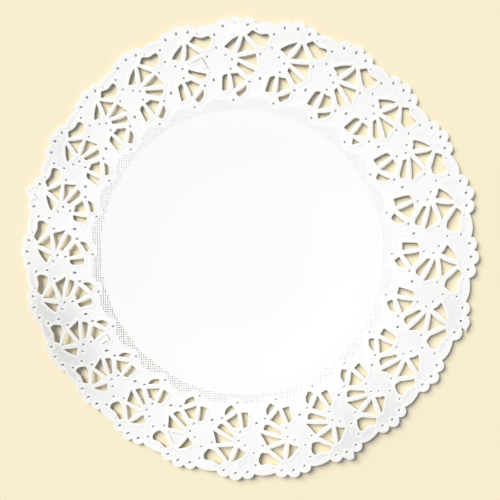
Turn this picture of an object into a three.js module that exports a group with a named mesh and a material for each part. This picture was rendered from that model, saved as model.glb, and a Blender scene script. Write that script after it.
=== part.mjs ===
// A round paper doily, lying face up: a plain flat centre, and a lace border of like repeats
// that stands a little off the table. Millimetres, +Z up, the origin under the middle of the sheet.
import * as THREE from 'three';
import { mergeVertices } from 'three/addons/utils/BufferGeometryUtils.js';

// Driving dimensions. Angles are in degrees and run clockwise, seen from above, as the lace leans.
const REPEATS = 24;
const SHEET = 1.0;
const BEAD_CIRCLE = 123.0;
const CENTRE_RADIUS = 77.5;
const FIRST_REPEAT = 1.0;
const PITCH = 360 / REPEATS;

// How the border stands: a long gentle slope up from the flat middle, then a ruffled brim.
const SLOPE_START = 36.0;
const SLOPE_TOP = 94.0;
const STAND = 1.35;
const RUFFLE_START = 70.0;
const RUFFLE_FULL = 126.0;
// Ruffles, which lift or lower the brim. Columns: angle round the doily, half-width in degrees,
// lift.
const RUFFLES = [
  [64, 36, 0.8],
  [96, 30, 0.6],
  [158, 40, 1.5],
  [214, 26, -0.4],
  [262, 36, -0.3],
  [319, 36, -0.5],
];
// Near its old folds the brim is drawn in, and between two of them it bulges. Columns: angle,
// half-width in degrees, how far it moves out.
const TUCKS = [
  [2, 18, -1.1],
  [39, 24, -1.0],
  [136, 14, -1.1],
  [197, 14, -0.6],
  [226, 14, -0.8],
  [250, 20, 0.6],
  [323, 22, -1.0],
];
// Radii of the rings that carry the slope, out to the net's outer edge.
const RINGS = [SLOPE_START, 48.0, 60.0, 70.0, CENTRE_RADIUS, 83.0];

// Paper lace is stamped folded in quarters, so it opens a little askew, alike in each quarter:
// the brim goes sideways, and in and out, by these distances. The angles are of the most.
const QUARTERS = 4;
const SWAY = 1.6;
const SWAY_AT = 32;
const SWELL = 0.5;
const SWELL_AT = 84;

// One repeat. The middle bead is at angle 0. Radii are from the doily's middle.
// Beads, the three round scallops of a shell. Columns: angle, ring radius, bead radius.
const BEADS = [
  [-3.0, 121.8, 3.75],
  [0.0, BEAD_CIRCLE, 3.85],
  [3.05, 121.8, 3.8],
];
// The leaf bridges from the last bead to the next shell. Columns: angle, radius.
const LEAF = [
  [4.8, 122.7],
  [6.2, 123.4],
  [8.1, 123.7],
  [9.6, 123.2],
];
const LEAF_END = [10.25, 122.6];
// The line through solid paper where one repeat meets the next. Columns: angle, radius.
const SEAM = [
  [LEAF_END[0] - PITCH, LEAF_END[1]],
  [-4.3, 104.5],
  [-5.8, 97.2],
  [-5.8, RINGS.at(-1)],
];
const SEAM_FOOT = SEAM.at(-1)[0];
const BEAD_STEPS = 5;
const RING_STEPS = 4;
// Two faces whose facing corners add up to half a turn, give or take this angle, are left alone.
const SWAP_SLACK = 1e-6;
// Points nearer than this are one point of the solid.
const SAME_POINT = 1e-3;

// Windows cut through the lace, between its straight bars, listed clockwise.
// Columns: angle, radius, cut back from the corner, bow of the side to the next corner.
const WINDOWS = {
  eye: [
    [2.85, 116.8, 0, 0],
    [4.2, 119.3, 0.9, 0],
    [6.2, 117.3, 0, 0],
    [8.25, 117.9, 1.0, 0],
    [8.75, 115.0, 1.2, 0],
    [7.6, 110.9, 1.0, 0],
    [5.85, 111.5, 0, 0],
  ],
  crescent: [
    [-3.15, 110.9, 0, 0.6],
    [0.9, 116.4, 0, 0],
    [-0.95, 107.9, 0, 0],
    [-1.9, 109.7, 0, 0],
  ],
  triangle: [
    [1.95, 116.4, 0, -0.3],
    [5.2, 109.2, 0, -0.25],
    [0.3, 107.4, 0, -0.4],
  ],
  wedge: [
    [0.45, 105.1, 0, 0],
    [5.55, 107.4, 0.7, 0],
    [6.95, 100.1, 0, -0.25],
  ],
  slot: [
    [0.55, 102.9, 0, 0],
    [5.85, 98.4, 0.9, 0],
    [4.9, 95.7, 1.0, 0],
    [3.5, 96.1, 0, 0],
    [0.3, 101.1, 0, 0],
  ],
  gore: [
    [-1.7, 97.1, 0, 0],
    [-0.4, 96.9, 0, 0],
    [0.35, 97.3, 0, 0],
    [2.95, 93.6, 0, 0],
    [-1.0, 88.6, 0, -0.3],
  ],
  gate: [
    [-2.75, 97.1, 0, 0],
    [-2.4, 88.4, 0, 0],
    [-4.95, 88.4, 0, 0],
    [-4.35, 96.2, 1.1, 0],
  ],
  halfMoon: [
    [-0.2, 86.8, 0, -0.25],
    [3.5, 91.0, 0, 0],
    [3.4, 87.2, 1.5, 0],
    [1.1, 84.2, 1.4, 0],
  ],
};
// Windows whose waste the die left in place, by repeat.
const UNPUNCHED = { 8: 'triangle', 11: 'gate', 18: 'wedge', 22: 'halfMoon' };
// Middle beads that are torn or creased, by repeat: the outline that takes the place of the arc.
// Columns: angle, radius.
const DAMAGED = {
  2: [
    [-1.56, 125.8],
    [-0.43, 127.2],
    [1.19, 126.9],
    [1.93, 126.8],
    [1.3, 124.8],
  ],
  5: [
    [-1.5, 125.3],
    [-1.13, 127.3],
    [-0.66, 127.7],
    [0.63, 127.3],
    [0.72, 126.5],
    [1.13, 125.3],
  ],
  14: [
    [-1.5, 125.5],
    [-1.0, 126.7],
    [-0.4, 128.3],
    [0.2, 128.5],
    [1.95, 127.4],
    [1.3, 124.9],
  ],
  19: [
    [-1.2, 125.6],
    [-0.3, 126.8],
    [0.4, 126.3],
    [0.9, 125.3],
  ],
};

const paper = new THREE.MeshStandardMaterial({ color: 0xfbfbf8, roughness: 0.82, metalness: 0 });

// A point of the sheet from its angle and radius.
function at(angle, radius) {
  const turn = THREE.MathUtils.degToRad(-angle);
  return new THREE.Vector2(radius * Math.cos(turn), radius * Math.sin(turn));
}

// What a table of ruffles or tucks adds up to at an angle: each row is a squared cosine, 0 past
// its half-width.
function ruffled(angle, rows) {
  return rows.reduce((sum, [middle, half, height]) => {
    const away = THREE.MathUtils.euclideanModulo(angle - middle + 180, 360) - 180;
    return sum + height * Math.cos(Math.min(1, Math.abs(away) / half) * Math.PI / 2) ** 2;
  }, 0);
}

// Where a point of a repeat's flat pattern lies, once it is turned to its place and askew.
function placed(point, turn) {
  const radius = point.length();
  const angle = turn - THREE.MathUtils.radToDeg(point.angle());
  const outward = THREE.MathUtils.smoothstep(radius, CENTRE_RADIUS, BEAD_CIRCLE);
  const wave = (peak) => Math.cos(THREE.MathUtils.degToRad(QUARTERS * (angle - peak)));
  const sideways = THREE.MathUtils.radToDeg(SWAY * wave(SWAY_AT) * outward / radius);
  const swell = SWELL * wave(SWELL_AT) + ruffled(angle, TUCKS);
  return at(angle + sideways, radius + swell * outward);
}

// How far the sheet's underside stands off the table at a point.
function lift(point) {
  const radius = point.length();
  const angle = THREE.MathUtils.radToDeg(-point.angle());
  const slope = STAND * THREE.MathUtils.smoothstep(radius, SLOPE_START, SLOPE_TOP);
  const outward = THREE.MathUtils.smoothstep(radius, RUFFLE_START, RUFFLE_FULL);
  return slope + outward * ruffled(angle, RUFFLES);
}

// The outer edge of one repeat: an arc over each bead, from where it leaves the last shape
// to where it meets the next, or the middle bead's damaged outline, then the leaf's long low arch.
function brim(damage) {
  const start = at(...SEAM[0]);
  const end = at(...LEAF[0]);
  const centres = BEADS.map(([angle, ring]) => at(angle, ring));
  const meets = [start];
  for (let i = 0; i + 1 < BEADS.length; i += 1) {
    const between = centres[i + 1].clone().sub(centres[i]);
    const half = between.length() / 2;
    const rise = Math.sqrt(BEADS[i][2] ** 2 - half ** 2);
    const out = new THREE.Vector2(-between.y, between.x).setLength(rise);
    const middle = centres[i].clone().add(between.multiplyScalar(0.5));
    meets.push(middle.dot(out) > 0 ? middle.add(out) : middle.sub(out));
  }
  meets.push(end);
  const points = [];
  centres.forEach((centre, i) => {
    if (i === 1 && damage) {
      points.push(meets[i], ...damage.map(([angle, radius]) => at(angle, radius)));
      return;
    }
    const from = meets[i].clone().sub(centre);
    const to = meets[i + 1].clone().sub(centre);
    let sweep = to.angle() - from.angle();
    if (sweep > 0) sweep -= 2 * Math.PI;
    for (let step = 0; step < BEAD_STEPS; step += 1) {
      const turned = from.clone().rotateAround(new THREE.Vector2(), sweep * step / BEAD_STEPS);
      points.push(centre.clone().add(turned));
    }
  });
  return [...points, ...LEAF.map(([angle, radius]) => at(angle, radius))];
}

// A window's edge: its corners, cut back where they are round, and a middle point on a bowed side.
function windowEdge(rows) {
  const corners = rows.map(([angle, radius]) => at(angle, radius));
  const points = [];
  corners.forEach((corner, i) => {
    const before = corners.at(i - 1);
    const after = corners[(i + 1) % corners.length];
    const [, , cut, bow] = rows[i];
    if (cut > 0) {
      points.push(corner.clone().add(before.clone().sub(corner).setLength(cut)));
      points.push(corner.clone().add(after.clone().sub(corner).setLength(cut)));
    } else {
      points.push(corner);
    }
    if (bow !== 0) {
      const along = after.clone().sub(corner);
      const outward = new THREE.Vector2(-along.y, along.x).setLength(Math.abs(bow));
      const middle = corner.clone().add(after).multiplyScalar(0.5);
      points.push(bow > 0 ? middle.add(outward) : middle.sub(outward));
    }
  });
  return points;
}

// Swaps the side shared by two triangles where the corners facing it add up to over half a turn,
// pass after pass until none does, so that no long slivers are left.
function swapLongSides(points, faces) {
  const corner = (tip, from, to) => {
    const [a, b] = [points[from].clone().sub(points[tip]), points[to].clone().sub(points[tip])];
    return a.angleTo(b);
  };
  let swaps = 1;
  while (swaps > 0) {
    swaps = 0;
    const sides = new Map();
    faces.forEach((face, owner) => face.forEach((from, i) => {
      sides.set(`${from} ${face[(i + 1) % 3]}`, { owner, facing: face[(i + 2) % 3] });
    }));
    const changed = new Set();
    for (const [name, { owner, facing }] of sides) {
      const [from, to] = name.split(' ').map(Number);
      const across = sides.get(`${to} ${from}`);
      if (!across || changed.has(owner) || changed.has(across.owner)) continue;
      const facingAngles = corner(facing, from, to) + corner(across.facing, from, to);
      if (facingAngles < Math.PI + SWAP_SLACK) continue;
      faces[owner] = [from, across.facing, facing];
      faces[across.owner] = [across.facing, to, facing];
      changed.add(owner).add(across.owner);
      swaps += 1;
    }
  }
  return faces;
}

// One repeat's flat pattern: its points, its triangles, and the runs of points along cut edges.
function repeatPattern(repeat) {
  const edge = brim(DAMAGED[repeat]);
  const seam = SEAM.map(([angle, radius]) => at(angle, radius));
  const nextSeam = SEAM.map(([angle, radius]) => at(angle + PITCH, radius));
  const foot = [];
  for (let step = RING_STEPS - 1; step > 0; step -= 1) {
    foot.push(at(SEAM_FOOT + PITCH * step / RING_STEPS, RINGS.at(-1)));
  }
  const contour = [...edge, ...nextSeam, ...foot, ...seam.slice(1).reverse()].reverse();
  const holes = Object.entries(WINDOWS)
    .filter(([name]) => name !== UNPUNCHED[repeat])
    .map(([, rows]) => windowEdge(rows));
  const points = [...contour, ...holes.flat()];
  const faces = swapLongSides(points, THREE.ShapeUtils.triangulateShape(contour, holes));
  const cutEdges = [[nextSeam[0], ...[...edge].reverse()]];
  holes.forEach((hole) => cutEdges.push([...hole, hole[0]]));
  return { points, faces, cutEdges };
}

// Adds a face to the upper side and the same face, turned over, to the underside.
function addBothSides(triangles, corners) {
  const high = corners.map((p) => [p.x, p.y, lift(p) + SHEET]);
  const low = corners.map((p) => [p.x, p.y, lift(p)]);
  triangles.push(...high, ...low.reverse());
}

// Adds the wall of a cut edge, with the paper on the left of its direction.
function addWall(triangles, run) {
  for (let i = 0; i + 1 < run.length; i += 1) {
    const [p, q] = [run[i], run[i + 1]];
    const [pz, qz] = [lift(p), lift(q)];
    const footing = [[p.x, p.y, pz], [q.x, q.y, qz]];
    const top = [[p.x, p.y, pz + SHEET], [q.x, q.y, qz + SHEET]];
    triangles.push(footing[0], footing[1], top[1], footing[0], top[1], top[0]);
  }
}

// Adds one step of the flat middle and of the plain rings round it.
function addCentreStep(triangles, near, far) {
  const inner = RINGS[0];
  addBothSides(triangles, [new THREE.Vector2(), at(far, inner), at(near, inner)]);
  for (let ring = 0; ring + 1 < RINGS.length; ring += 1) {
    const [low, high] = [RINGS[ring], RINGS[ring + 1]];
    const corners = [[near, low], [far, low], [far, high], [near, high]];
    const [a, b, c, d] = corners.map(([angle, radius]) => placed(at(angle, radius), 0));
    addBothSides(triangles, [a, b, c]);
    addBothSides(triangles, [a, c, d]);
  }
}

// The whole sheet: the centre and its rings, and the repeats turned round them.
function doilyGeometry() {
  const triangles = [];
  for (let k = 0; k < REPEATS; k += 1) {
    const turn = FIRST_REPEAT + PITCH * (k - 1);
    const { points, faces, cutEdges } = repeatPattern(k);
    faces.forEach((face) => addBothSides(triangles, face.map((i) => placed(points[i], turn))));
    cutEdges.forEach((run) => addWall(triangles, run.map((p) => placed(p, turn))));
    for (let step = 0; step < RING_STEPS; step += 1) {
      const near = SEAM_FOOT + turn + PITCH * step / RING_STEPS;
      addCentreStep(triangles, near, near + PITCH / RING_STEPS);
    }
  }
  const loose = new THREE.BufferGeometry();
  loose.setAttribute('position', new THREE.Float32BufferAttribute(triangles.flat(), 3));
  const joined = mergeVertices(loose, SAME_POINT);
  joined.computeVertexNormals();
  return joined;
}

const doily = new THREE.Mesh(doilyGeometry(), paper);
doily.name = 'doily';

const group = new THREE.Group();
group.add(doily);

export default group;
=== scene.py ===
"""A round white paper doily, lying face up: a plain flat centre, a ring of fine net round it, and
a pierced and embossed lace border. Its tables are in millimetres and degrees, the scene in metres."""

import math

import bpy
import numpy as np
from mathutils import Matrix, Vector
from mathutils.geometry import delaunay_2d_cdt


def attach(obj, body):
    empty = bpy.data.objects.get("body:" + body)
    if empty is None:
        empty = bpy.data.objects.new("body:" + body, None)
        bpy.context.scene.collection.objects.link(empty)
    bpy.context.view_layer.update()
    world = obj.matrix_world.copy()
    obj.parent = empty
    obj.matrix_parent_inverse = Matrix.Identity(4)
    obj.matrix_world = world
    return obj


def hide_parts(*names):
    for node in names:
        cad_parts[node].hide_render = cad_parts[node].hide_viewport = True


bl_info = {
    "name": "Paper Doily",
    "version": (1, 0, 0),
    "blender": (4, 5, 0),
    "location": "View3D > Sidebar > Doily",
    "description": "Stamps, pierces and embosses a round paper doily and lays it on a table",
    "category": "Add Mesh",
}

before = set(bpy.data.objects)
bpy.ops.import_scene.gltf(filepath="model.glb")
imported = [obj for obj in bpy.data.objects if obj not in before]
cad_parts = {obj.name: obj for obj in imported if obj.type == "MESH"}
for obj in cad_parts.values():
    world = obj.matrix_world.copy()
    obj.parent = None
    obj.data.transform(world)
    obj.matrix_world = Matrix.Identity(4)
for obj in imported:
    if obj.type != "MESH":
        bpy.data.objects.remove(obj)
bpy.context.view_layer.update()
MM = 0.001
# Further than the nearest cut ever is, and how near two points are to count as one.
FAR = 99.0
SAME_POINT = 1e-6

# The lace goes round in like repeats. Angles run clockwise, seen from above, as the shells lean.
REPEATS = 24
PITCH = 360 / REPEATS
FIRST_REPEAT = 1.0
BEAD_CIRCLE = 123.0
CENTRE_RADIUS = 77.5

# How the border stands off the table: a long gentle slope, and ruffles that lift or lower the
# brim. Columns of RUFFLES: angle, half-width in degrees, lift at the brim.
STAND = 1.35
SLOPE_START, SLOPE_TOP = 36.0, 94.0
RUFFLE_START = 70.0
RUFFLE_FULL = 126.0
RUFFLES = np.array([
    (64, 36, 0.8),
    (96, 30, 0.6),
    (158, 40, 1.5),
    (214, 26, -0.4),
    (262, 36, -0.3),
    (319, 36, -0.5),
])
# Near its old folds the brim is drawn in, and between two of them it bulges. Columns: angle,
# half-width in degrees, how far it moves out.
TUCKS = np.array([
    (2, 18, -1.1),
    (39, 24, -1.0),
    (136, 14, -1.1),
    (197, 14, -0.6),
    (226, 14, -0.8),
    (250, 20, 0.6),
    (323, 22, -1.0),
])
# Painted shade on the lace, where its brim slopes away from the light: some everywhere, and more in
# some stretches. Columns of PAINTED_SHADE_STRETCHES: angle, half-width in degrees, greyness. The
# greyness comes in between two radii.
PAINTED_SHADE = 0.17
PAINTED_SHADE_STRETCHES = np.array([
    (16, 12, 0.2),
    (54, 26, 0.42),
    (92, 12, 0.1),
    (157, 31, 0.8),
    (211, 12, 0.3),
])
PAINTED_SHADE_START, PAINTED_SHADE_FULL = 86.0, 118.0
# How much of that painted shade the cords and the rims keep.
CORD_GREY = 0.4

# Paper lace is stamped folded in quarters, and opens a little askew, alike in each quarter.
QUARTERS = 4
SWAY, SWAY_AT = 1.6, 32
SWELL, SWELL_AT = 0.5, 84

# One repeat, with its middle bead at angle 0. Columns: angle, ring radius, bead radius.
BEADS = np.array([
    (-3.0, 121.8, 3.75),
    (0.0, BEAD_CIRCLE, 3.85),
    (3.05, 121.8, 3.8),
])
# The leaf that bridges to the next shell. Columns: angle, radius.
LEAF = np.array([
    (4.8, 122.7),
    (6.2, 123.4),
    (8.1, 123.7),
    (9.6, 123.2),
    (10.25, 122.6),
])
# Windows between the straight bars, clockwise. Columns: angle, radius, how far the corner is
# rounded back, how far the side to the next corner bows out.
WINDOWS = {
    "eye": [
        (2.85, 116.8, 0.7, 0.0),
        (4.2, 119.3, 0.9, -0.1),
        (6.2, 117.3, 1.0, 0.0),
        (8.25, 117.9, 1.0, 0.1),
        (8.75, 115.0, 1.2, 0.1),
        (7.6, 110.9, 1.0, 0.0),
        (5.85, 111.5, 0.8, -0.15),
    ],
    "crescent": [
        (-3.15, 110.9, 0.5, 0.6),
        (0.9, 116.4, 0.5, -0.2),
        (-0.95, 107.9, 0.4, 0.0),
        (-1.9, 109.7, 0.6, 0.0),
    ],
    "triangle": [
        (1.95, 116.4, 0.5, -0.3),
        (5.2, 109.2, 0.5, -0.25),
        (0.3, 107.4, 0.5, -0.4),
    ],
    "wedge": [
        (0.45, 105.1, 0.4, -0.15),
        (5.55, 107.4, 0.7, -0.1),
        (6.95, 100.1, 0.5, -0.25),
    ],
    "slot": [
        (0.55, 102.9, 0.5, -0.2),
        (5.85, 98.4, 0.6, 0.0),
        (4.9, 95.7, 0.8, 0.1),
        (3.5, 96.1, 0.8, -0.1),
        (0.3, 101.1, 0.5, 0.0),
    ],
    "gore": [
        (-1.7, 97.1, 0.5, 0.0),
        (-0.4, 96.9, 0.5, 0.0),
        (0.35, 97.3, 0.5, -0.15),
        (2.95, 93.6, 0.5, -0.2),
        (-1.0, 88.6, 0.5, -0.3),
    ],
    "gate": [
        (-2.75, 97.1, 0.6, -0.2),
        (-2.4, 88.4, 0.5, 0.0),
        (-4.95, 88.4, 0.5, 0.1),
        (-4.35, 96.2, 0.9, 0.1),
    ],
    "half_moon": [
        (-0.2, 86.8, 0.5, -0.25),
        (3.5, 91.0, 0.7, 0.1),
        (3.4, 87.2, 1.5, 0.0),
        (1.1, 84.2, 1.3, 0.0),
    ],
}
# Pinholes. Columns: angle, radius, hole diameter, how much the raised rim is knurled.
PINHOLES = np.array([
    (-3.1, 122.0, 1.75, 0.0),
    (0.0, 123.0, 1.85, 0.0),
    (2.95, 122.0, 1.75, 0.0),
    (5.2, 120.0, 0.85, 0.0),
    (9.6, 118.0, 1.45, 0.3),
    (9.7, 111.1, 1.3, 1.0),
    (6.85, 107.3, 1.35, 1.0),
    (-2.9, 106.9, 1.3, 1.0),
    (-1.1, 104.3, 1.35, 1.0),
    (-1.65, 99.5, 1.35, 1.0),
    (7.65, 94.7, 1.8, 0.5),
    (4.4, 92.6, 1.5, 0.3),
    (-1.15, 83.1, 1.3, 0.3),
])
# The pins leave a burr under the sheet, a funnel of paper: its depth, how narrow its foot is
# beside its hole, and how much painted shade its foot takes, for the shade down in the funnel.
BURR = 0.7
BURR_NARROW = 0.5
BURR_PAINTED_SHADE = 1.0
# No two holes are quite alike: each is drawn out and turned by its own place in the row of all.
PIN_STRETCH = 0.2
GOLDEN = 0.618
# The die bites best on one side of the sheet, and there its holes are widest. Where the bite is
# even, a pinhole has its table's diameter.
BITE_AT, BITE_WIDTH = 150.0, 60.0
PIN_BITE = 0.35
EVEN_BITE = 0.2
# Windows whose waste the die left hanging by one side, and one that it tore in place of cutting.
UNPUNCHED = {8: "triangle", 11: "gate", 18: "wedge"}
TORN = {22: "half_moon"}
TORN_WINDOW = [
    (-0.14, 87.5, 0.3, 0.0),
    (2.79, 88.5, 0.3, -0.1),
    (1.35, 84.9, 0.4, 0.0),
]
# The width of the slit round hanging waste, and the share of the window's edge that holds it.
SLIT = 0.4
HINGE = 0.3
# Middle beads that are torn or creased: the outline in place of the arc. Columns: angle, radius.
DAMAGED = {
    2: np.array([
        (-1.56, 125.8),
        (-0.43, 127.2),
        (0.4, 127.2),
        (1.19, 126.9),
        (1.93, 126.8),
        (1.3, 124.8),
    ]),
    5: np.array([
        (-1.5, 125.3),
        (-1.13, 127.3),
        (-0.66, 127.7),
        (0.63, 127.3),
        (0.72, 126.5),
        (1.13, 125.3),
    ]),
    14: np.array([
        (-1.5, 125.5),
        (-1.0, 126.7),
        (-0.4, 128.3),
        (0.2, 128.5),
        (1.95, 127.4),
        (1.3, 124.9),
    ]),
    19: np.array([
        (-1.2, 125.6),
        (-0.3, 126.8),
        (0.4, 126.3),
        (0.9, 125.3),
    ]),
}
# Middle pinholes that a crease has all but closed, by repeat, and how many times smaller they are.
CLOSED = (14, 19)
CLOSED_BY = 3
# Creases across the damaged beads, raised or pressed in. Rows: repeat, height, then the line.
CREASES = [
    (2, -0.3, [(1.2, 124.6), (2.3, 122.6)]),
    (2, 0.2, [(2.3, 124.6), (3.1, 123.4)]),
    (5, 0.25, [(-0.9, 126.8), (0.3, 121.5)]),
    (14, 0.35, [(0.9, 127.4), (-0.6, 122.0)]),
    (14, -0.3, [(1.2, 124.9), (0.9, 121.8)]),
    (14, 0.25, [(-1.6, 124.6), (-0.6, 122.0)]),
    (19, 0.3, [(0.9, 125.0), (1.0, 120.6)]),
    (19, -0.25, [(-0.9, 124.8), (-0.2, 122.2)]),
]
# No crease goes further in than this radius, and all are this wide.
CREASED_FROM = 118.0
CREASE_WIDTH = 0.55

# The net: a square mesh of fine holes, wider where the die bit best, and uneven by a share.
NET_PITCH = 1.3
NET_HOLE = 0.36
NET_BITE = 0.4
NET_UNEVEN = 0.4
# It goes out to a line that dips in under each half moon.
NET_REACH = 84.8
NET_DIP, NET_DIP_AT, NET_DIP_WIDTH = 4.2, 0.3, 3.4
# How far its holes keep from the centre's edge, from that line, and from a pinhole's middle.
NET_INSIDE, NET_OUTSIDE, NET_CLEAR = 0.9, 0.5, 1.1

# Fine pressed lines in a repeat, each a short row of angles and radii.
RIDGES = [
    np.array([(3.9, 81.7), (5.8, 83.9), (7.8, 85.6), (9.8, 89.5)]),
    np.array([(-4.3, 105.6), (-4.6, 112.0), (-4.4, 119.6)]),
    np.array([(-3.3, 107.9), (-3.9, 113.0), (-3.6, 119.8)]),
    np.array([(-1.6, 112.6), (-1.9, 116.5), (-1.5, 120.5)]),
    np.array([(0.6, 117.4), (0.9, 119.0), (1.4, 120.8)]),
    np.array([(9.3, 92.6), (10.3, 90.6)]),
    np.array([(9.2, 95.4), (10.5, 96.6)]),
    np.array([(8.0, 96.8), (8.5, 99.5)]),
    np.array([(6.6, 93.2), (5.9, 90.4)]),
    np.array([(7.6, 92.4), (7.4, 89.6)]),
]

# The relief of the upper face is a sum of ridges: how far a crest lies from the cut or the line
# that it follows, its width, and its rise. The cords' rise is a setting.
CORD_AWAY, CORD_WIDTH = 0.65, 0.6
PIN_RIM_AWAY, PIN_RIM_WIDTH, PIN_RIM_RISE = 0.55, 0.4, 0.15
PETAL_AWAY, PETAL_WIDTH, PETAL_RISE = 0.7, 0.4, 0.07
FLUTE_WIDTH, FLUTE_RISE = 0.35, 0.06
CENTRE_LINE_WIDTH, CENTRE_LINE_DEPTH = 0.5, 0.05
PIN_TEETH = 9
# The leaf has a second, lower cord: its share of the cords' rise, and the angles between which it
# comes and goes.
LEAF_CORD_AWAY, LEAF_CORD_WIDTH, LEAF_CORD_SHARE = 2.1, 0.3, 0.6
LEAF_CORD_FROM, LEAF_CORD_TO = (4.8, 5.6), (9.4, 10.0)
LEAF_CORD_INNER = 117.0
# The relief starts this far outside the centre. A plain field starts this far from a cut or a
# pinhole, and is whole further out. A flute takes a share of it.
RELIEF_START = 2.0
FIELD_START, FIELD_FULL = 0.9, 2.0
FLUTE_FIELD = 0.5

# How finely the sheet is meshed: side of a step along a cut, steps of a curve, sides of a hole.
CUT_STEP = 1.1
CORNER_STEPS = 4
BEAD_STEPS = 10
LEAF_STEPS = 3
PIN_SIDES = 10
NET_SIDES = 6
# Points between the cuts: their pitch, how far out they go, and how far from a cut they keep.
TOP_PITCH, TOP_REACH, TOP_CLEAR = 0.82, 128.0, 0.4
UNDER_PITCH, UNDER_REACH, UNDER_CLEAR = 3.0, 126.0, 0.8
CENTRE_PITCH, CENTRE_CLEAR = 5.0, 4.0
# Two rings of points carry the line round the centre: degrees between the outer ring's points, and
# the gap between the rings.
LINE_STEP, LINE_GAP = 0.75, 1.5
SHARP_EDGE = math.radians(50)

# The paper's finish. Scales are in features a metre.
PAPER_ROUGHNESS, PAPER_GLOSS = 0.85, 0.25
MOTTLE, MOTTLE_SCALE, MOTTLE_DETAIL = 0.04, 60, 4
FIBRE_SCALE, FIBRE_DETAIL = 1500, 3
FIBRE_STRENGTH, FIBRE_DEPTH = 0.25, 0.05


class DoilySettings(bpy.types.PropertyGroup):
    """Sizes and finish of the paper."""

    paper: bpy.props.FloatProperty(
        name="Paper",
        description="Thickness of the sheet between its faces",
        default=0.3 * MM,
        min=0.05 * MM,
        max=1.0 * MM,
        unit="LENGTH",
        precision=5,
    )
    emboss: bpy.props.FloatProperty(
        name="Emboss",
        description="Height of the cords that are pressed up along the cuts",
        default=0.15 * MM,
        min=0.0,
        max=0.5 * MM,
        unit="LENGTH",
        precision=5,
    )
    paper_colour: bpy.props.FloatVectorProperty(
        name="Paper colour",
        description="Colour of the plain white centre",
        subtype="COLOR",
        default=(0.945, 0.945, 0.945),
        min=0.0,
        max=1.0,
    )
    # Painted shade: the colour that the shaded lace and the pinholes' burrs are painted towards.
    painted_shade_colour: bpy.props.FloatVectorProperty(
        name="Brim colour",
        description="Colour of the paper where it is pressed thin, near the edge",
        subtype="COLOR",
        default=(0.68, 0.68, 0.67),
        min=0.0,
        max=1.0,
    )


class StageSettings(bpy.types.PropertyGroup):
    """The table and the light."""

    table_colour: bpy.props.FloatVectorProperty(
        name="Table colour",
        description="Colour of the plain cream table",
        subtype="COLOR",
        default=(0.912, 0.822, 0.61),
        min=0.0,
        max=1.0,
    )
    key_strength: bpy.props.FloatProperty(
        name="Key light",
        description="Strength of the light from the upper left",
        default=4.21,
        min=0.0,
    )
    fill_strength: bpy.props.FloatProperty(
        name="Fill light",
        description="Strength of the even light from all round",
        default=0.266,
        min=0.0,
    )


def turned(angle, radius):
    """Points at clockwise angles and radii: x = r cos a, y = -r sin a."""
    a = np.radians(angle)
    return np.stack([radius * np.cos(a), -radius * np.sin(a)], -1)


def angle_of(points):
    """Clockwise angle of each point, in degrees."""
    return np.degrees(np.arctan2(-points[..., 1], points[..., 0]))


def radius_of(points):
    """Distance of each point from the middle of the doily."""
    return np.hypot(points[..., 0], points[..., 1])


def in_repeat(angle):
    """Angle from the middle bead of a point's own repeat, which starts a third of a pitch before
    that bead."""
    return (angle - FIRST_REPEAT + PITCH / 3) % PITCH - PITCH / 3


def smooth(value, low, high):
    """Goes from 0 at low to 1 at high as 3t^2 - 2t^3."""
    t = np.clip((value - low) / (high - low), 0, 1)
    return t * t * (3 - 2 * t)


def ridge(distance, width):
    """A bell curve, 1 at distance 0: exp(-(d / w)^2)."""
    return np.exp(-((distance / width) ** 2))


def ruffled(angle, rows, column):
    """Sum at each angle of one column of a table of stretches: each row is a squared cosine of
    the angle from its middle, 0 past its half-width."""
    away = np.abs((angle[:, None] - rows[:, 0] + 180) % 360 - 180) / rows[:, 1]
    return (rows[:, column] * np.cos(np.minimum(1, away) * math.pi / 2) ** 2).sum(1)


def lift(angle, radius):
    """Height of the underside: the slope, and the ruffles from where they start."""
    slope = STAND * smooth(radius, SLOPE_START, SLOPE_TOP)
    return slope + smooth(radius, RUFFLE_START, RUFFLE_FULL) * ruffled(angle, RUFFLES, 2)


def placed(points):
    """Where the flat pattern's points lie, seen from above: each goes sideways and in or out
    by a cosine of four times its angle, and in or out by the tucks as well, from nothing at the
    centre's edge to the whole at the brim."""
    angle, radius = angle_of(points), radius_of(points)
    outward = smooth(radius, CENTRE_RADIUS, BEAD_CIRCLE)
    sway = SWAY * outward * np.cos(np.radians(QUARTERS * (angle - SWAY_AT)))
    swell = SWELL * np.cos(np.radians(QUARTERS * (angle - SWELL_AT))) + ruffled(angle, TUCKS, 2)
    turn = np.degrees(sway / np.maximum(radius, 1))
    return turned(angle + turn, radius + outward * swell)


def parabola(start, control, end, steps):
    """Points on the curve from start towards end that its control point pulls aside:
    (1-t)^2 a + 2t(1-t) c + t^2 b, the end left out."""
    t = np.arange(steps)[:, None] / steps
    return (1 - t) ** 2 * start + 2 * t * (1 - t) * control + t**2 * end


def flowing(points, steps):
    """A curve through the points, the last one left out: a cubic between each two, whose slope at
    a point is half the way between the points beside it."""
    held = np.concatenate([[2 * points[0] - points[1]], points, [2 * points[-1] - points[-2]]])
    a, b, c, d = held[:-3, None], held[1:-2, None], held[2:-1, None], held[3:, None]
    t = (np.arange(steps) / steps)[None, :, None]
    curve = 2 * b + (c - a) * t + (2 * a - 5 * b + 4 * c - d) * t**2 + (3 * b - a - 3 * c + d) * t**3
    return curve.reshape(-1, 2) / 2


def ring(centres, radii, sides, stretch):
    """Small holes, clockwise: centre + r (cos t, -sin t), each drawn out by its own share of the
    stretch along its own direction, which go round by the golden ratio from hole to hole."""
    t = np.arange(sides) * 2 * math.pi / sides
    number = np.arange(len(centres))[:, None]
    lean = 2 * math.pi * GOLDEN * number
    longer = stretch * (number * GOLDEN % 1)
    along, across = (1 + longer) * np.cos(t), (1 - longer) * np.sin(t)
    x = along * np.cos(lean) - across * np.sin(lean)
    y = along * np.sin(lean) + across * np.cos(lean)
    return centres[:, None] + radii[:, None, None] * np.stack([x, -y], -1)


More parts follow.
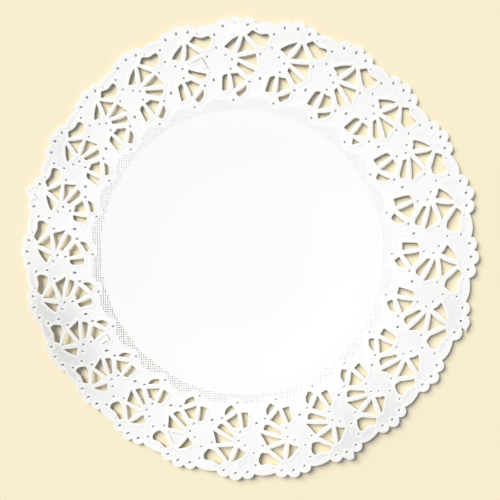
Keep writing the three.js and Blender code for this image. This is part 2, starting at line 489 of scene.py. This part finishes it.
def window_edge(rows, turn):
    """A window's loop: each side is a parabola, as it bows, and so is each rounded corner."""
    rows = np.array(rows)
    corners = turned(rows[:, 0] + turn, rows[:, 1])
    along = np.roll(corners, -1, 0) - corners
    length = np.hypot(along[:, 0], along[:, 1])
    outward = np.stack([-along[:, 1], along[:, 0]], -1) / length[:, None]
    pulls = corners + along / 2 + outward * 2 * rows[:, 3:]
    back = np.roll(rows[:, 2], -1) / length
    points = []
    for i, corner in enumerate(corners):
        following = corners[(i + 1) % len(corners)]
        beyond = corners[(i + 2) % len(corners)]
        cut = rows[(i + 1) % len(rows), 2]
        t = np.linspace(rows[i, 2] / length[i], 1 - back[i], max(3, round(length[i] / CUT_STEP)))
        t = t[:, None]
        side = (1 - t) ** 2 * corner + 2 * t * (1 - t) * pulls[i] + t**2 * following
        leave = following + (beyond - following) / np.linalg.norm(beyond - following) * cut
        points += [side, parabola(side[-1], following, leave, CORNER_STEPS)[1:]]
    return np.concatenate(points)


def slit_edge(loop):
    """A window whose waste still hangs: out along the cut, and back along the waste's own edge,
    which lies a slit's width nearer the middle. The cut leaves out its last steps as the hinge."""
    cut = loop[: round(len(loop) * (1 - HINGE))]
    middle = loop.mean(0)
    away = cut - middle
    inner = middle + away * (1 - SLIT / np.hypot(away[:, 0], away[:, 1]))[:, None]
    return np.concatenate([cut, inner[::-1]])


def brim_edge(turn, damage):
    """One repeat of the outer edge, clockwise: an arc over each bead between the notches where
    two beads meet, or the middle bead's damaged outline, then the leaf's curve."""
    centres = turned(BEADS[:, 0] + turn, BEADS[:, 1])
    leaf = turned(LEAF[:, 0] + turn, LEAF[:, 1])
    before = turned(LEAF[-1, 0] - PITCH + turn, LEAF[-1, 1])
    notches = [before]
    for i in (0, 1):
        between = centres[i + 1] - centres[i]
        half = np.linalg.norm(between) / 2
        rise = math.sqrt(BEADS[i, 2] ** 2 - half**2)
        out = np.array([-between[1], between[0]]) / (2 * half)
        notches.append(centres[i] + between / 2 + out * rise)
    notches.append(leaf[0])
    arcs = []
    for centre, start, end in zip(centres, notches, notches[1:]):
        first = math.atan2(*(start - centre)[::-1])
        sweep = (math.atan2(*(end - centre)[::-1]) - first) % (2 * math.pi) - 2 * math.pi
        t = np.arange(BEAD_STEPS) / BEAD_STEPS
        reach = np.linalg.norm(start - centre) * (1 - t) + np.linalg.norm(end - centre) * t
        swung = first + sweep * t
        arcs.append(centre + reach[:, None] * np.stack([np.cos(swung), np.sin(swung)], -1))
    if damage is not None:
        arcs[1] = np.concatenate([notches[1][None], turned(damage[:, 0] + turn, damage[:, 1])])
    return np.concatenate([*arcs, flowing(leaf, LEAF_STEPS)])


def net_line(angle):
    """Radius of the line outside the net: level, less a bell curve under each half moon."""
    away = (in_repeat(angle) - NET_DIP_AT + PITCH / 2) % PITCH - PITCH / 2
    return NET_REACH - NET_DIP * ridge(away, NET_DIP_WIDTH)


def bite(points):
    """How well the die bit at each point: a bell curve round the middle, 1 on its best side."""
    away = (angle_of(points) - BITE_AT + 180) % 360 - 180
    return ridge(away, BITE_WIDTH)


def pinhole_places():
    """Middles and radii of all the pinholes, repeat by repeat from the first: wider than their
    table says where the die bit best, and small where a crease has closed them."""
    turns = FIRST_REPEAT + PITCH * np.arange(REPEATS)
    centres = turned(PINHOLES[:, 0] + turns[:, None], PINHOLES[:, 1]).reshape(-1, 2)
    diameters = np.tile(PINHOLES[:, 2], (REPEATS, 1))
    diameters[np.array(CLOSED) - 1, 1] /= CLOSED_BY
    return centres, diameters.ravel() / 2 * (1 + PIN_BITE * (bite(centres) - EVEN_BITE))


def net_places(offset):
    """Points of a square grid that lie in the net and clear of the pinholes: the net's holes
    where the offset is a half, and the crossings between them where it is nothing."""
    count = int(NET_REACH / NET_PITCH) + 2
    steps = (np.arange(-count, count) + offset) * NET_PITCH
    grid = np.stack(np.meshgrid(steps, steps), -1).reshape(-1, 2)
    angle, radius = angle_of(grid), radius_of(grid)
    grid = grid[(radius > CENTRE_RADIUS + NET_INSIDE) & (radius < net_line(angle) - NET_OUTSIDE)]
    pins = pinhole_places()[0]
    return grid[in_slices(lambda part: nearest(part, pins), grid) > NET_CLEAR]


def in_slices(formula, points, slices=60):
    """Runs a whole-array formula on slices of the points, so its distance tables stay small."""
    return np.concatenate([formula(part) for part in np.array_split(points, slices)])


def nearest(points, places):
    """Distance from each point to the nearest of some places."""
    gaps = points[:, None] - places
    return np.sqrt((gaps**2).sum(-1).min(1))


def line_distance(points, starts, ends):
    """Distance from each point to the nearest of some straight pieces: to the foot of its
    perpendicular, held between the piece's ends."""
    along = ends - starts
    across = points[:, None] - starts
    t = np.clip((across * along).sum(-1) / (along**2).sum(-1), 0, 1)
    return np.sqrt(((across - t[..., None] * along) ** 2).sum(-1).min(1))


def edge_distance(points, loops):
    """Distance from each point to the nearest cut, looked for in its own and the next repeats."""
    starts = np.concatenate(loops)
    ends = np.concatenate([np.roll(loop, -1, 0) for loop in loops])
    home = np.floor(angle_of(points) / PITCH).astype(int) % REPEATS
    theirs = np.floor(angle_of(starts) / PITCH).astype(int) % REPEATS
    distance = np.full(len(points), FAR)
    for k in range(REPEATS):
        mine = home == k
        beside = np.isin((theirs - k) % REPEATS, (0, 1, REPEATS - 1))
        cuts = starts[beside], ends[beside]
        distance[mine] = in_slices(lambda part: line_distance(part, *cuts), points[mine], 4)
    return distance


def inside(points, loop):
    """Whether each point is in a closed loop: a line to its right crosses the loop an odd number
    of times."""
    a, b = loop, np.roll(loop, -1, 0)
    x, y = points[:, :1], points[:, 1:]
    spans = (a[:, 1] > y) != (b[:, 1] > y)
    rise = np.where(a[:, 1] == b[:, 1], 1.0, b[:, 1] - a[:, 1])
    meets = a[:, 0] + (y - a[:, 1]) * (b[:, 0] - a[:, 0]) / rise
    return (spans & (x < meets)).sum(1) % 2 == 1


def in_holes(points, loops):
    """Whether each point is in any of the holes."""
    found = np.zeros(len(points), bool)
    for loop in loops:
        middle = loop.mean(0)
        reach = ((loop - middle) ** 2).sum(1).max()
        near = np.flatnonzero(((points - middle) ** 2).sum(1) < reach)
        found[near] |= inside(points[near], loop)
    return found


def cut_lines():
    """Every cut of the die, with the paper on its left: the brim, the windows, the pinholes and
    the net's holes."""
    turns = FIRST_REPEAT + PITCH * (np.arange(REPEATS) - 1)
    brim = np.concatenate([brim_edge(turn, DAMAGED.get(k)) for k, turn in enumerate(turns)])[::-1]
    windows = []
    for k, turn in enumerate(turns):
        for name, rows in WINDOWS.items():
            loop = window_edge(TORN_WINDOW if TORN.get(k) == name else rows, turn)
            windows.append(slit_edge(loop) if UNPUNCHED.get(k) == name else loop)
    pins = list(ring(*pinhole_places(), PIN_SIDES, PIN_STRETCH))
    holes = net_places(0.5)
    uneven = 1 + NET_UNEVEN * (np.arange(len(holes)) * GOLDEN % 1 - 0.5)
    radii = (NET_HOLE + NET_BITE * bite(holes)) / 2 * uneven
    net = list(ring(holes, radii, NET_SIDES, PIN_STRETCH))
    return brim, windows, pins, net


def lattice(pitch, inner, outer):
    """A honeycomb of points between two radii: rows a little closer than the pitch, every other
    one moved on by half of it."""
    count = int(outer / pitch) + 1
    steps = np.arange(-count, count) * pitch
    across, down = np.meshgrid(steps, steps * 0.9)
    moved = (np.arange(2 * count) % 2)[:, None] * pitch / 2
    grid = np.stack([across + moved, down], -1).reshape(-1, 2)
    radius = radius_of(grid)
    return grid[(radius > inner) & (radius < outer)]


def in_paper(points, brim, windows, clearance):
    """The points that lie in the paper of the lace, clear of its cuts and its pinholes."""
    points = points[radius_of(points) > net_line(angle_of(points)) + clearance / 2]
    points = points[edge_distance(points, [brim, *windows]) > clearance]
    centres, radii = pinhole_places()
    points = points[in_slices(lambda part: nearest(part, centres), points) > radii.max() + clearance]
    return points[inside(points, brim) & ~in_holes(points, windows)]


def between_cuts(loops, points):
    """The fattest triangles that fill the paper between the cuts, as numbers of the loops' points
    and then of the points between them. A triangle whose corners are all on cuts is kept if its
    middle is in paper."""
    rim = np.concatenate(loops)
    everything = np.concatenate([rim, points])
    starts = np.arange(len(rim))
    breaks = np.cumsum([len(loop) for loop in loops])[:-1]
    ends = np.concatenate([np.roll(part, -1) for part in np.split(starts, breaks)])
    edges = np.stack([starts, ends], -1)
    corners = [Vector(point) for point in everything]
    found = delaunay_2d_cdt(corners, edges.tolist(), [], 0, SAME_POINT)
    if len(found[0]) != len(everything):
        raise RuntimeError("two cuts of the doily cross or touch")
    triangles = np.array(found[2])
    doubtful = np.flatnonzero((triangles < len(rim)).all(1))
    middles = everything[triangles[doubtful]].mean(1)
    waste = in_holes(middles, loops[1:]) | ~in_slices(lambda part: inside(part, loops[0]), middles)
    return np.delete(triangles, doubtful[waste], 0), edges


def pin_distance(here):
    """Distance from the edge of the nearest pinhole of a repeat, and how the rims rise: a bell
    curve a little way out, its height a cosine of the bearing where it is knurled."""
    nearest_rim, rise = np.full(len(here), FAR), np.zeros(len(here))
    for turn in (-PITCH, 0, PITCH):
        places = turned(PINHOLES[:, 0] + turn, PINHOLES[:, 1])
        for place, (hole, knurl) in zip(places, PINHOLES[:, 2:]):
            across = here - place
            away = radius_of(across) - hole / 2
            teeth = 1 - knurl * (1 + np.cos(np.radians(PIN_TEETH * angle_of(across)))) / 2
            rise += teeth * ridge(away - PIN_RIM_AWAY, PIN_RIM_WIDTH)
            nearest_rim = np.minimum(nearest_rim, away)
    return nearest_rim, rise


def crumpled(points):
    """Height of the creases in the damaged beads: a bell curve across each line."""
    height = np.zeros(len(points))
    near = np.flatnonzero(radius_of(points) > CREASED_FROM)
    for k, rise, line in CREASES:
        line = np.array(line)
        ends = turned(line[:, 0] + FIRST_REPEAT + PITCH * (k - 1), line[:, 1])
        away = line_distance(points[near], ends[:-1], ends[1:])
        height[near] += rise * ridge(away, CREASE_WIDTH)
    return height


def fluting(here):
    """How high on a fine pressed line each point of a repeat lies: a bell curve across each line,
    also across those of the repeat before."""
    flutes = np.zeros(len(here))
    for line in RIDGES:
        for turn in (0, PITCH):
            ends = turned(line[:, 0] - turn, line[:, 1])
            along = in_slices(lambda part: line_distance(part, ends[:-1], ends[1:]), here, 8)
            flutes = np.maximum(flutes, ridge(along, FLUTE_WIDTH))
    return flutes


def embossing(points, edge, from_brim, cord):
    """Height of the upper face over the plain paper, in mm, as a sum of bell-shaped ridges, and
    how much of a plain field each point lies in: 0 on a cord or a rim, 1 in the open."""
    angle, radius = in_repeat(angle_of(points)), radius_of(points)
    here = turned(angle, radius)
    lace = smooth(radius, CENTRE_RADIUS + RELIEF_START, NET_REACH)
    pin, pin_rise = pin_distance(here)
    flutes = fluting(here)
    leaf = smooth(angle, *LEAF_CORD_FROM) * (1 - smooth(angle, *LEAF_CORD_TO))
    leaf_cord = leaf * (radius > LEAF_CORD_INNER) * ridge(from_brim - LEAF_CORD_AWAY, LEAF_CORD_WIDTH)
    cords = ridge(edge - CORD_AWAY, CORD_WIDTH) + LEAF_CORD_SHARE * leaf_cord
    petal = ridge(radius - net_line(angle) - PETAL_AWAY, PETAL_WIDTH) * (1 - ridge(edge, CORD_WIDTH))
    fine = PIN_RIM_RISE * pin_rise + FLUTE_RISE * flutes + PETAL_RISE * petal
    line = CENTRE_LINE_DEPTH * ridge(radius - CENTRE_RADIUS, CENTRE_LINE_WIDTH)
    open_paper = smooth(np.minimum(edge, pin), FIELD_START, FIELD_FULL)
    relief = lace * (cord * cords + fine) + crumpled(points) - line
    return relief, open_paper * (1 - FLUTE_FIELD * flutes)


def doily_mesh(paper, cord):
    """The whole sheet as one closed mesh: an embossed upper face, a plain underside, and a wall
    along every cut. A pinhole's wall goes down to a narrower foot as its burr."""
    brim, windows, pins, net = cut_lines()
    loops = [brim, *windows, *pins, *net]
    rim = np.concatenate(loops)
    line = turned(np.arange(0, 360, LINE_STEP), CENTRE_RADIUS)
    inside_line = turned(np.arange(0, 360, 2 * LINE_STEP), CENTRE_RADIUS - LINE_GAP)
    middle = lattice(CENTRE_PITCH, -1, CENTRE_RADIUS - CENTRE_CLEAR)
    centre = np.concatenate([line, inside_line, middle])
    fine = in_paper(lattice(TOP_PITCH, CENTRE_RADIUS, TOP_REACH), brim, windows, TOP_CLEAR)
    coarse = in_paper(lattice(UNDER_PITCH, CENTRE_RADIUS, UNDER_REACH), brim, windows, UNDER_CLEAR)
    upper = np.concatenate([centre, net_places(0.0), fine])
    under = np.concatenate([centre[::2], coarse])
    top_faces, edges = between_cuts(loops, upper)
    under_faces, _ = between_cuts(loops, under)

    top, low = np.concatenate([rim, upper]), np.concatenate([rim, under])
    edge = edge_distance(top, [brim, *windows])
    relief, field = embossing(top, edge, edge_distance(top, [brim]), cord)
    flat = np.concatenate([top, low])
    across = placed(flat)
    height = lift(angle_of(across), radius_of(across))
    height[: len(top)] += paper + relief
    first_pin = len(top) + sum(len(loop) for loop in [brim, *windows])
    burrs = slice(first_pin, first_pin + PIN_SIDES * len(pins))
    height[burrs] = np.maximum(height[burrs] - BURR, 0)
    middles = np.repeat(placed(pinhole_places()[0]), PIN_SIDES, 0)
    across[burrs] = middles + (across[burrs] - middles) * BURR_NARROW
    # Painted shade on the lace: some everywhere towards the brim, and more in some stretches.
    greyness = PAINTED_SHADE + ruffled(angle_of(flat), PAINTED_SHADE_STRETCHES, 2)
    painted_shade = smooth(radius_of(flat), PAINTED_SHADE_START, PAINTED_SHADE_FULL) * greyness
    # Painted shade: the burrs' feet take the whole shade colour, as they lie in shade.
    painted_shade[burrs] = BURR_PAINTED_SHADE

    low_faces = under_faces[:, ::-1] + len(top)
    start, end = edges.T
    walls = np.stack([start + len(top), end + len(top), end, start], -1)
    mesh = bpy.data.meshes.new("doily_lace")
    points = np.column_stack([across, height]) * MM
    mesh.from_pydata(points.tolist(), [], [*top_faces.tolist(), *low_faces.tolist(), *walls.tolist()])
    mesh.validate()
    add_measure(mesh, "field", np.concatenate([field, np.ones(len(low))]))
    add_measure(mesh, "painted_shade", painted_shade)
    mesh.shade_smooth()
    mesh.set_sharp_from_angle(angle=SHARP_EDGE)
    return mesh


def add_measure(mesh, name, values):
    """A number for each point of the mesh, for the finish to read."""
    mesh.attributes.new(name, "FLOAT", "POINT").data.foreach_set("value", values.astype(np.float32))


def paper_finish(settings):
    """White paper with a soft matt face. Its colour goes to the painted shade colour by the painted
    shade measure, times a share that is whole in a plain field, plus fine mottled noise, and its
    fibres are bump."""
    finish = bpy.data.materials.new("doily_paper")
    finish.use_nodes = True
    nodes, links = finish.node_tree.nodes, finish.node_tree.links
    shader = nodes["Principled BSDF"]
    shader.inputs["Roughness"].default_value = PAPER_ROUGHNESS
    shader.inputs["Specular IOR Level"].default_value = PAPER_GLOSS
    place = nodes.new("ShaderNodeTexCoord")
    # Painted shade: its measure on the mesh, cut to a share on the cords and the rims.
    painted_shade = nodes.new("ShaderNodeAttribute")
    painted_shade.attribute_name = "painted_shade"
    field = nodes.new("ShaderNodeAttribute")
    field.attribute_name = "field"
    open_field = nodes.new("ShaderNodeMath")
    open_field.operation = "MULTIPLY_ADD"
    open_field.inputs[1].default_value = 1 - CORD_GREY
    open_field.inputs[2].default_value = CORD_GREY
    links.new(field.outputs["Fac"], open_field.inputs[0])
    greyness = nodes.new("ShaderNodeMath")
    greyness.operation = "MULTIPLY"
    links.new(open_field.outputs["Value"], greyness.inputs[0])
    links.new(painted_shade.outputs["Fac"], greyness.inputs[1])
    cloud = nodes.new("ShaderNodeTexNoise")
    cloud.inputs["Scale"].default_value = MOTTLE_SCALE
    cloud.inputs["Detail"].default_value = MOTTLE_DETAIL
    links.new(place.outputs["Object"], cloud.inputs["Vector"])
    # Painted shade plus a fine mottle of the paper's own tone.
    shade_and_mottle = nodes.new("ShaderNodeMath")
    shade_and_mottle.operation = "MULTIPLY_ADD"
    shade_and_mottle.inputs[1].default_value = MOTTLE
    links.new(cloud.outputs["Fac"], shade_and_mottle.inputs[0])
    links.new(greyness.outputs["Value"], shade_and_mottle.inputs[2])
    shade_and_mottle.use_clamp = True
    blend = nodes.new("ShaderNodeMix")
    blend.data_type = "RGBA"
    blend.inputs["A"].default_value = (*settings.paper_colour, 1)
    blend.inputs["B"].default_value = (*settings.painted_shade_colour, 1)
    links.new(shade_and_mottle.outputs["Value"], blend.inputs["Factor"])
    links.new(blend.outputs["Result"], shader.inputs["Base Color"])
    fibre = nodes.new("ShaderNodeTexNoise")
    fibre.inputs["Scale"].default_value = FIBRE_SCALE
    fibre.inputs["Detail"].default_value = FIBRE_DETAIL
    links.new(place.outputs["Object"], fibre.inputs["Vector"])
    bump = nodes.new("ShaderNodeBump")
    bump.inputs["Strength"].default_value = FIBRE_STRENGTH
    bump.inputs["Distance"].default_value = FIBRE_DEPTH * MM
    links.new(fibre.outputs["Fac"], bump.inputs["Height"])
    links.new(bump.outputs["Normal"], shader.inputs["Normal"])
    return finish


class DOILY_OT_stamp(bpy.types.Operator):
    """Stamp the doily out of one sheet of paper"""

    bl_idname = "doily.stamp"
    bl_label = "Stamp Doily"

    def execute(self, context):
        settings = context.scene.doily
        mesh = doily_mesh(settings.paper / MM, settings.emboss / MM)
        mesh.materials.append(paper_finish(settings))
        doily = bpy.data.objects.new("doily_lace", mesh)
        context.scene.collection.objects.link(doily)
        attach(doily, "root")
        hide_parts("doily")
        return {"FINISHED"}


# The stage, in millimetres: where the camera stands and what it looks at, the table, and the
# light's fall. The table lies a hair under the sheet.
CAMERA_PLACE = Vector((49.4, 19.1, 270.2))
CAMERA_AIM = Vector((7.8, 2.25, 0.0))
CAMERA_UP = Vector((-0.0006, 0.998, -0.0621))
VIEW_ANGLE = math.radians(53.13)
TABLE_SIZE = 3000.0
TABLE_DROP = 0.05
TABLE_ROUGHNESS, TABLE_GLOSS = 0.9, 0.1
KEY_AZIMUTH = math.radians(135)
KEY_HEIGHT = math.radians(36)
KEY_SPREAD = math.radians(40)
KEY_COLOUR = (1.0, 0.958, 0.825)
FILL_COLOUR = (0.93, 1.048, 1.41, 1)


class DOILY_OT_stage(bpy.types.Operator):
    """Lay the table, and set the light and the camera"""

    bl_idname = "doily.stage"
    bl_label = "Set Stage"

    def execute(self, context):
        settings = context.scene.doily_stage
        collection = context.scene.collection
        half = TABLE_SIZE / 2
        corners = np.array([(-half, -half), (half, -half), (half, half), (-half, half)])
        mesh = bpy.data.meshes.new("table")
        points = np.column_stack([corners, np.full(4, -TABLE_DROP)]) * MM
        mesh.from_pydata(points.tolist(), [], [(0, 1, 2, 3)])
        finish = bpy.data.materials.new("cream_table")
        finish.use_nodes = True
        shader = finish.node_tree.nodes["Principled BSDF"]
        shader.inputs["Base Color"].default_value = (*settings.table_colour, 1)
        shader.inputs["Roughness"].default_value = TABLE_ROUGHNESS
        shader.inputs["Specular IOR Level"].default_value = TABLE_GLOSS
        mesh.materials.append(finish)
        table = bpy.data.objects.new("table", mesh)
        collection.objects.link(table)

        lamp = bpy.data.lights.new("key", "SUN")
        lamp.energy = settings.key_strength
        lamp.angle = KEY_SPREAD
        lamp.color = KEY_COLOUR
        key = bpy.data.objects.new("key", lamp)
        level, up = math.cos(KEY_HEIGHT), math.sin(KEY_HEIGHT)
        from_key = Vector((level * math.cos(KEY_AZIMUTH), level * math.sin(KEY_AZIMUTH), up))
        key.rotation_euler = from_key.to_track_quat("Z", "Y").to_euler()
        collection.objects.link(key)

        world = bpy.data.worlds.new("studio")
        context.scene.world = world
        world.use_nodes = True
        sky = world.node_tree.nodes["Background"]
        sky.inputs["Color"].default_value = FILL_COLOUR
        sky.inputs["Strength"].default_value = settings.fill_strength

        lens = bpy.data.cameras.new("camera")
        lens.angle = VIEW_ANGLE
        lens.clip_start = 0.01
        camera = bpy.data.objects.new("camera", lens)
        back = (CAMERA_PLACE - CAMERA_AIM).normalized()
        right = CAMERA_UP.cross(back).normalized()
        turn = Matrix((right, back.cross(right), back)).transposed().to_4x4()
        camera.matrix_world = Matrix.Translation(CAMERA_PLACE * MM) @ turn
        collection.objects.link(camera)
        context.scene.camera = camera
        context.scene.view_settings.view_transform = "Standard"
        return {"FINISHED"}


class DOILY_PT_panel(bpy.types.Panel):
    """The doily's sizes and colours, and its operators in order"""

    bl_idname = "DOILY_PT_panel"
    bl_label = "Paper Doily"
    bl_space_type = "VIEW_3D"
    bl_region_type = "UI"
    bl_category = "Doily"

    def draw(self, context):
        for settings in (context.scene.doily, context.scene.doily_stage):
            for name in settings.__annotations__:
                self.layout.prop(settings, name)
        for operator in (DOILY_OT_stamp, DOILY_OT_stage):
            self.layout.operator(operator.bl_idname)


CLASSES = (DoilySettings, StageSettings, DOILY_OT_stamp, DOILY_OT_stage, DOILY_PT_panel)


def register():
    for each in CLASSES:
        bpy.utils.register_class(each)
    bpy.types.Scene.doily = bpy.props.PointerProperty(type=DoilySettings)
    bpy.types.Scene.doily_stage = bpy.props.PointerProperty(type=StageSettings)


def unregister():
    del bpy.types.Scene.doily_stage
    del bpy.types.Scene.doily
    for each in reversed(CLASSES):
        bpy.utils.unregister_class(each)


def main():
    register()
    bpy.ops.doily.stamp()
    bpy.ops.doily.stage()


if __name__ == "__main__":
    main()
